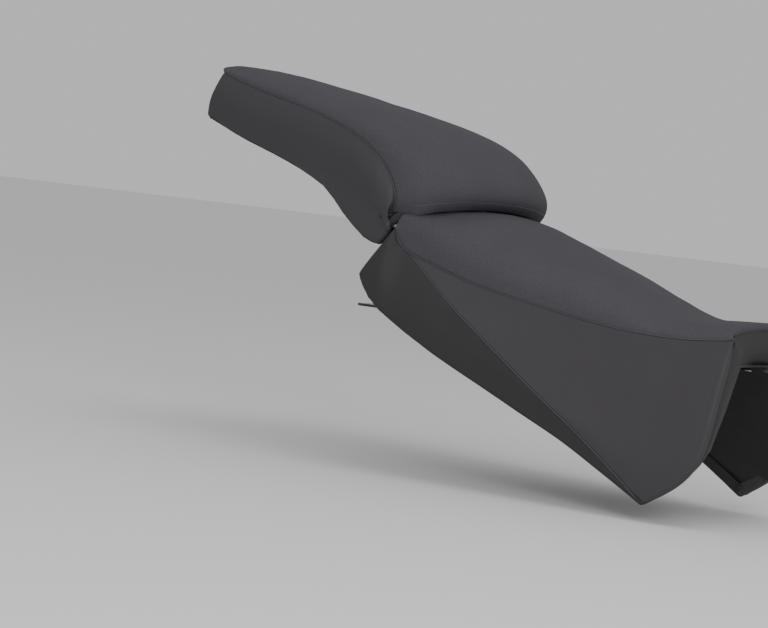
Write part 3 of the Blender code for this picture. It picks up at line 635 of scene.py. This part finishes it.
u_first, u_last, fit = diagonal_line(rider)
top = top_panel("rider_top_cover", rider)
dress(solid(top), "rider_seat", "seat_fabric", "rider_cover_top", "rider_foam")
for label, side in (("left", 1), ("right", -1)):
    # rear panel: below the top seam behind the diagonal's start, then below the diagonal
    u = steps(ROLL / LENGTH["rider"], 1 - ROLL / LENGTH["rider"], 150)
    end = low_edge(rider, u)
    start = np.where(u <= u_first, 1.0, np.clip(np.polyval(fit, u), 1, 2))
    start = np.minimum(np.maximum.accumulate(start), end - 0.003)
    grid, uu, ww = side_grid(rider, u, start, end, False, side)
    edge = wrap(rider, grid, uu, ww, side, ("rear", "low", "front"))
    # the rear panel takes the darker vinyl: painted shade on the side turned from the light
    rear = mesh_of(f"rider_rear_cover_{label}", [grid, edge], shaded_vinyl)
    dress(solid(rear), "rider_seat", "side_vinyl", f"rider_cover_rear_{label}")
    # front panel: from the top seam down to the diagonal
    u = steps(u_first, 1 - ROLL / LENGTH["rider"], 170)
    end = np.clip(np.polyval(fit, u), 1.002, 2)
    end = np.minimum(np.maximum.accumulate(end), low_edge(rider, u) - 0.003)
    grid, uu, ww = side_grid(rider, u, np.full(len(u), 1.0), end, True, side, crease=True)
    edge = wrap(rider, grid, uu, ww, side, ("front",))
    panel = mesh_of(f"rider_side_cover_{label}", [grid, edge], vinyl)
    dress(solid(panel), "rider_seat", "side_vinyl", f"rider_cover_side_{label}")
    # lighter lines along the top and diagonal seams: painted highlights on their folds
    u = np.linspace(0.004, 0.996, BEAD_POINTS)
    highlight_bead_line(f"rider_top_seam_highlight_{label}", rider, u, np.full(BEAD_POINTS, 1.0 * side), BEAD_RADIUS,
           -0.5, highlight_bead, "rider_seat")
    u = np.linspace(u_first, u_last - 0.01, BEAD_POINTS)
    w = np.clip(np.polyval(fit, u), 1, 1.99)
    highlight_bead_line(f"rider_diagonal_seam_highlight_{label}", rider, u, w * side, BEAD_RADIUS, -0.45, highlight_bead,
           "rider_seat")
end_cover("rider_back_cover", rider, rider_pan, 0.0, ["rider_cover_back"], "rider_seat")
end_cover("rider_nose_cover", rider, rider_pan, 1.0, ["rider_cover_nose"], "rider_seat")

top = top_panel("passenger_top_cover", passenger)
dress(solid(top), "passenger_seat", "seat_fabric", "passenger_cover_top", "passenger_foam")
for label, side in (("left", 1), ("right", -1)):
    u = steps(ROLL / LENGTH["passenger"], 1 - ROLL / LENGTH["passenger"], 150)
    grid, uu, ww = side_grid(passenger, u, np.full(len(u), 1.0), low_edge(passenger, u), False,
                             side)
    edge = wrap(passenger, grid, uu, ww, side, ("rear", "low", "front"))
    panel = mesh_of(f"passenger_side_cover_{label}", [grid, edge], vinyl)
    dress(solid(panel), "passenger_seat", "side_vinyl", f"passenger_cover_side_{label}")
    # a lighter line along the top seam: a painted highlight on its fold
    u = np.linspace(0.004, 0.996, BEAD_POINTS)
    highlight_bead_line(f"passenger_seam_highlight_{label}", passenger, u, np.full(BEAD_POINTS, 1.0 * side),
           BEAD_RADIUS, -0.5, highlight_bead, "passenger_seat")
# the hem's line of stitching, drawn lighter: stitching with a painted highlight along it
u = np.full(BEAD_POINTS, 1 - HEM_LINE / LENGTH["passenger"])
w = np.linspace(-0.985, 0.985, BEAD_POINTS)
highlight_bead_line("passenger_hem_stitch_highlight", passenger, u, w, 0.35, 0.1, highlight_bead, "passenger_seat")
end_cover("passenger_back_cover", passenger, passenger_pan, 0.0, ["passenger_cover_back"],
          "passenger_seat")
# a dark sheet closes the gap under the passenger cover's hem: painted shade where the hem meets
# the rider seat
end_cover("passenger_front_shade_closure", passenger, passenger_pan, 1.0, [], "passenger_seat")

# ---------------------------------------------------------------- stage
FLOOR_Z = -0.19      # metres, just under the seat
REACH = 60.0
mesh = bpy.data.meshes.new("floor")
mesh.from_pydata([(-REACH, -REACH, FLOOR_Z), (REACH, -REACH, FLOOR_Z), (REACH, REACH, FLOOR_Z),
                  (-REACH, REACH, FLOOR_Z)], [], [(0, 1, 2, 3)])
floor = bpy.data.objects.new("floor", mesh)
bpy.context.scene.collection.objects.link(floor)
pale = bpy.data.materials.new("pale_floor")
pale.use_nodes = True
pale.node_tree.nodes["Principled BSDF"].inputs["Base Color"].default_value = (0.8, 0.8, 0.8, 1)
pale.node_tree.nodes["Principled BSDF"].inputs["Roughness"].default_value = 0.9
mesh.materials.append(pale)

world = bpy.data.worlds.new("studio")
bpy.context.scene.world = world
world.use_nodes = True
world.node_tree.nodes["Background"].inputs["Color"].default_value = (1, 1, 1, 1)
world.node_tree.nodes["Background"].inputs["Strength"].default_value = 0.6


def area_light(name, position, target, size, power):
    """A rectangular lamp that faces its target."""
    lamp = bpy.data.lights.new(name, "AREA")
    lamp.shape = "RECTANGLE"
    lamp.size, lamp.size_y = size
    lamp.energy = power
    obj = bpy.data.objects.new(name, lamp)
    aim = (Vector(target) - Vector(position)).to_track_quat("-Z", "Y")
    obj.matrix_world = Matrix.Translation(position) @ aim.to_matrix().to_4x4()
    bpy.context.scene.collection.objects.link(obj)


area_light("key", (0.9, -0.6, 2.6), (0.05, 0, 0.08), (1.6, 1.6), 18)
area_light("side", (1.9, -2.1, 1.1), (0.35, 0, 0.0), (0.9, 1.1), 24)

# The camera stands to the seat's right and ahead of it, and is rolled a little.
AHEAD, ABOVE, ROLLED = (math.radians(angle) for angle in (33.049, 2.418, 6.703))
CAMERA_AT = (1.5759, -2.5283, 0.1191)
camera_data = bpy.data.cameras.new("camera")
camera_data.sensor_width = 36.0
camera_data.lens = 112.5
camera = bpy.data.objects.new("camera", camera_data)
back = Vector((math.sin(AHEAD) * math.cos(ABOVE), -math.cos(AHEAD) * math.cos(ABOVE),
               math.sin(ABOVE)))
level = Vector((math.cos(AHEAD), math.sin(AHEAD), 0))
right = math.cos(ROLLED) * level + math.sin(ROLLED) * back.cross(level)
turn = Matrix((right, back.cross(right), back)).transposed().to_4x4()
camera.matrix_world = Matrix.Translation(CAMERA_AT) @ turn
bpy.context.scene.collection.objects.link(camera)
bpy.context.scene.camera = camera
